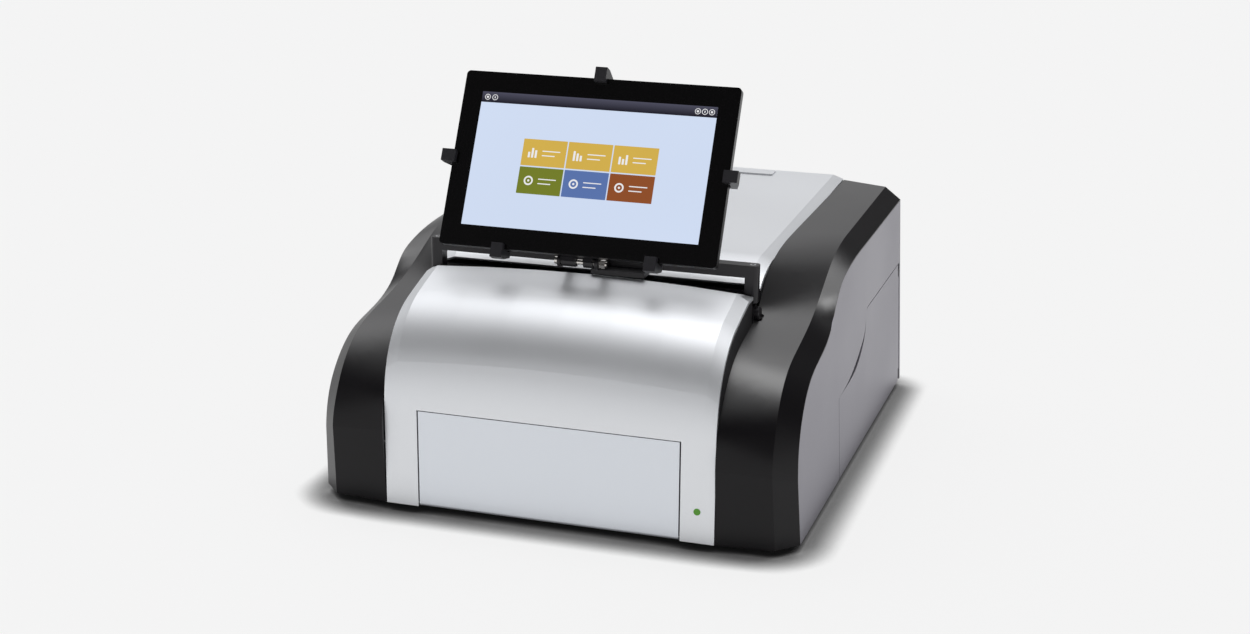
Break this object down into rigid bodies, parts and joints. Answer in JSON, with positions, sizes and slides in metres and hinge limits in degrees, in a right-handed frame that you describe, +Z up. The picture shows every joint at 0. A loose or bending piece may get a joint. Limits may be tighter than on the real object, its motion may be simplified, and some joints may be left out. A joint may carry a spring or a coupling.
{
  "type": "microplate reader",
  "caption": "Bench microplate reader with a silver cover, charcoal cheeks, a fold-down plate door, a sliding tray and a clamped tablet on a tilting stand.",
  "frame": {"origin": "on the surface the feet stand on, below the middle of the instrument", "axes": "+X to the instrument's right as its user faces it, -Y to the front, +Z up"},
  "size_m": [0.4728, 0.536, 0.4115],
  "materials": {
    "pan": "grey powder coat",
    "foot_rubber": "soft black rubber",
    "frame_black": "black powder coat",
    "silver_cover": "fine silver metallic paint",
    "charcoal_shell": "satin charcoal",
    "side_grey": "satin grey",
    "rear_grey": "grey powder coat",
    "black_plastic": "fine moulded grain",
    "steel": "ground",
    "bright_metal": "bright plated",
    "alloy": "machined",
    "stand_black": "black anodised look",
    "belt_rubber": "toothed belt",
    "board_green": "circuit board",
    "filter_glass": "polished",
    "green_lens": "green lens",
    "tablet_black": "smooth black",
    "tablet_glass": "polished",
    "screen": "lit display"
  },
  "bodies": {
    "root": {"base_pan": "pan", "rubber_feet": "foot_rubber", "left_frame_plate": "frame_black", "right_frame_plate": "frame_black", "valley_channel": "black_plastic", "front_cover": "silver_cover", "rear_top_cover": "silver_cover", "left_cheek": "charcoal_shell", "right_cheek": "charcoal_shell", "left_side_panel": "side_grey", "right_side_panel": "side_grey", "hinge_pins": "steel", "rear_panel": "rear_grey", "mains_inlet": "black_plastic", "data_ports": "bright_metal", "fan_housing": "black_plastic", "status_light": "green_lens", "door_frame": "black_plastic", "stage_bed": "alloy", "tray_rails": "steel", "drive_belt": "belt_rubber", "step_motors": "frame_black", "gantry_rods": "steel", "bulkhead": "alloy", "lamp_housing": "alloy", "paddle_guide": "alloy", "main_board": "board_green", "power_supply": "alloy", "leg_pivots": "stand_black"},
    "plate_tray_body": {"plate_tray": "alloy", "tray_bearings": "steel"},
    "plate_door_body": {"plate_door": "silver_cover"},
    "idler_body": {"idler_pulley": "alloy"},
    "driver_body": {"drive_pulley": "alloy"},
    "optics_body": {"optics_head": "alloy", "objective": "black_plastic", "detector": "alloy"},
    "wheel_body": {"filter_wheel": "black_plastic", "filter_glasses": "filter_glass"},
    "fan_body": {"fan_rotor": "black_plastic"},
    "paddle_body": {"filter_paddle": "black_plastic"},
    "access_body": {"access_door": "side_grey"},
    "rocker_body": {"power_rocker": "black_plastic"},
    "stand_body": {"crossbar": "stand_black", "crossbar_screws": "steel", "stand_legs": "stand_black", "tilt_bracket": "stand_black", "tilt_shaft": "bright_metal", "tilt_nuts": "bright_metal"},
    "holder_body": {"holder_plate": "stand_black", "bottom_claws": "black_plastic", "tablet_housing": "tablet_black", "tablet_glass": "tablet_glass", "tablet_screen": "screen"},
    "top_claw_body": {"top_claw": "black_plastic"},
    "left_claw_body": {"left_claw": "black_plastic"},
    "right_claw_body": {"right_claw": "black_plastic"},
    "power_button_body": {"tablet_power_button": "tablet_black"},
    "volume_key_body": {"tablet_volume_key": "tablet_black"}
  },
  "joints": [
    {"name": "plate_tray", "type": "slide", "parent": "root", "child": "plate_tray_body", "axis": [0, -1, 0], "range_m": [0, 0.16]},
    {"name": "plate_door", "type": "hinge", "parent": "root", "child": "plate_door_body", "pos_m": [0, -0.26, 0.0114], "axis": [1, 0, 0], "range_deg": [0, 90.01]},
    {"name": "idler_spin", "type": "hinge", "parent": "root", "child": "idler_body", "pos_m": [0.02, -0.237, 0.047], "axis": [0, 0, 1], "range_deg": [0, 1145.92]},
    {"name": "driver_spin", "type": "hinge", "parent": "root", "child": "driver_body", "pos_m": [0.02, -0.013, 0.047], "axis": [0, 0, 1], "range_deg": [0, 1145.92]},
    {"name": "optics_head", "type": "slide", "parent": "root", "child": "optics_body", "axis": [1, 0, 0], "range_m": [-0.06, 0.06]},
    {"name": "filter_wheel", "type": "hinge", "parent": "root", "child": "wheel_body", "pos_m": [0.06, 0.03, 0.12], "axis": [0, 1, 0], "continuous": true},
    {"name": "fan_rotor", "type": "hinge", "parent": "root", "child": "fan_body", "pos_m": [0.092, 0.249, 0.158], "axis": [0, 1, 0], "continuous": true},
    {"name": "filter_paddle", "type": "slide", "parent": "root", "child": "paddle_body", "axis": [1, 0, 0], "range_m": [0, 0.04]},
    {"name": "access_door", "type": "hinge", "parent": "root", "child": "access_body", "pos_m": [0.2334, 0.259, 0.00787], "axis": [-0.0447, 0, 0.999], "range_deg": [0, 90]},
    {"name": "power_rocker", "type": "hinge", "parent": "root", "child": "rocker_body", "pos_m": [-0.068, 0.258, 0.052], "axis": [1, 0, 0], "range_deg": [-12, 12]},
    {"name": "stand_swing", "type": "hinge", "parent": "root", "child": "stand_body", "pos_m": [0, -0.132, 0.192], "axis": [1, 0, 0], "range_deg": [-20, 0]},
    {"name": "tablet_tilt", "type": "hinge", "parent": "stand_body", "child": "holder_body", "pos_m": [0, -0.171, 0.237], "axis": [1, 0, 0], "range_deg": [-42, 15]},
    {"name": "top_claw", "type": "slide", "parent": "holder_body", "child": "top_claw_body", "axis": [0, 0.4633, 0.8862], "range_m": [0, 0.015]},
    {"name": "left_claw", "type": "slide", "parent": "holder_body", "child": "left_claw_body", "axis": [-1, 0, 0], "range_m": [0, 0.012]},
    {"name": "right_claw", "type": "slide", "parent": "holder_body", "child": "right_claw_body", "axis": [1, 0, 0], "range_m": [0, 0.012]},
    {"name": "power_button", "type": "slide", "parent": "holder_body", "child": "power_button_body", "axis": [0, -0.4633, -0.8862], "range_m": [0, 0.0008], "stiffness_N_per_m": 1500},
    {"name": "volume_key", "type": "slide", "parent": "holder_body", "child": "volume_key_body", "axis": [1, 0, 0], "range_m": [0, 0.0008], "stiffness_N_per_m": 1500}
  ],
  "couplings": [
    {"joint": "plate_door", "follows": "plate_tray", "rad_per_m": 9.8175},
    {"joint": "idler_spin", "follows": "plate_tray", "rad_per_m": 125},
    {"joint": "driver_spin", "follows": "plate_tray", "rad_per_m": 125}
  ]
}
